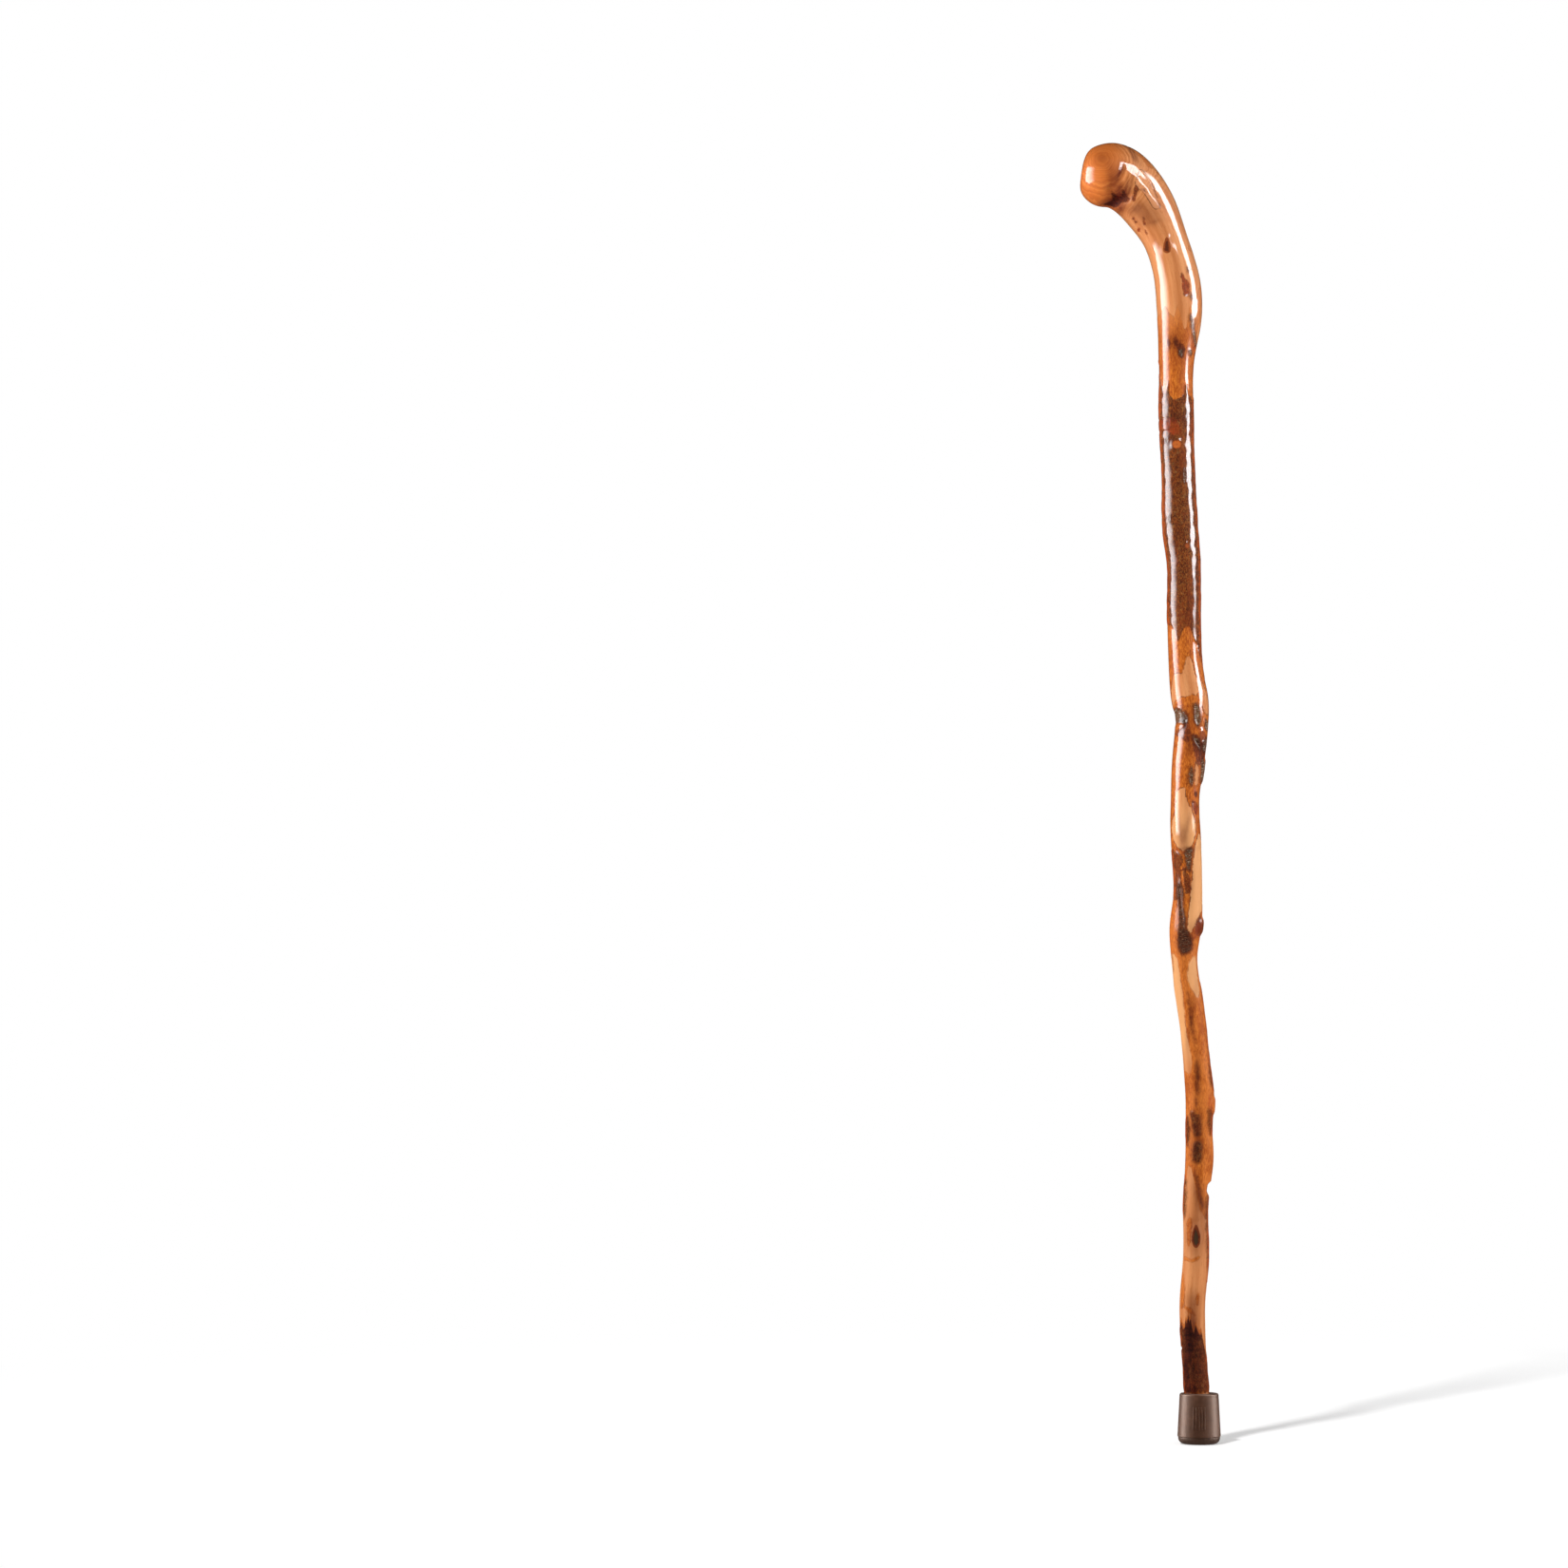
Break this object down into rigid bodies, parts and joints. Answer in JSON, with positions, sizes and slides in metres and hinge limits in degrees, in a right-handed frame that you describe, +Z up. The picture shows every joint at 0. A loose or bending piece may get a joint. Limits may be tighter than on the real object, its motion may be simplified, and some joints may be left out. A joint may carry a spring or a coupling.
{
  "type": "walking cane",
  "caption": "Walking cane: a crooked natural hardwood stick with a root-knob handle, standing in a tapered rubber tip with a steel washer inside.",
  "frame": {"origin": "centre of the rubber tip's ground face, on the floor that the cane stands on", "axes": "+Z up along the stick, -X the way the knob points, -Y the side with the burl, the knots and the knob's end grain"},
  "size_m": [0.102, 0.0467, 0.9392],
  "materials": {
    "lacquered_wood": "bark-on hardwood under clear gloss lacquer",
    "tip_rubber": "satin moulded rubber, brown-grey",
    "washer_steel": "zinc-plated, lightly scuffed"
  },
  "bodies": {
    "stick": {"stick": "lacquered_wood"},
    "tip": {"rubber_tip": "tip_rubber", "tip_washer": "washer_steel"}
  },
  "joints": [
    {"name": "tip_pull", "type": "slide", "parent": "tip", "child": "stick", "axis": [-0.0621, 0, 0.9981], "range_m": [0, 0.032]}
  ]
}
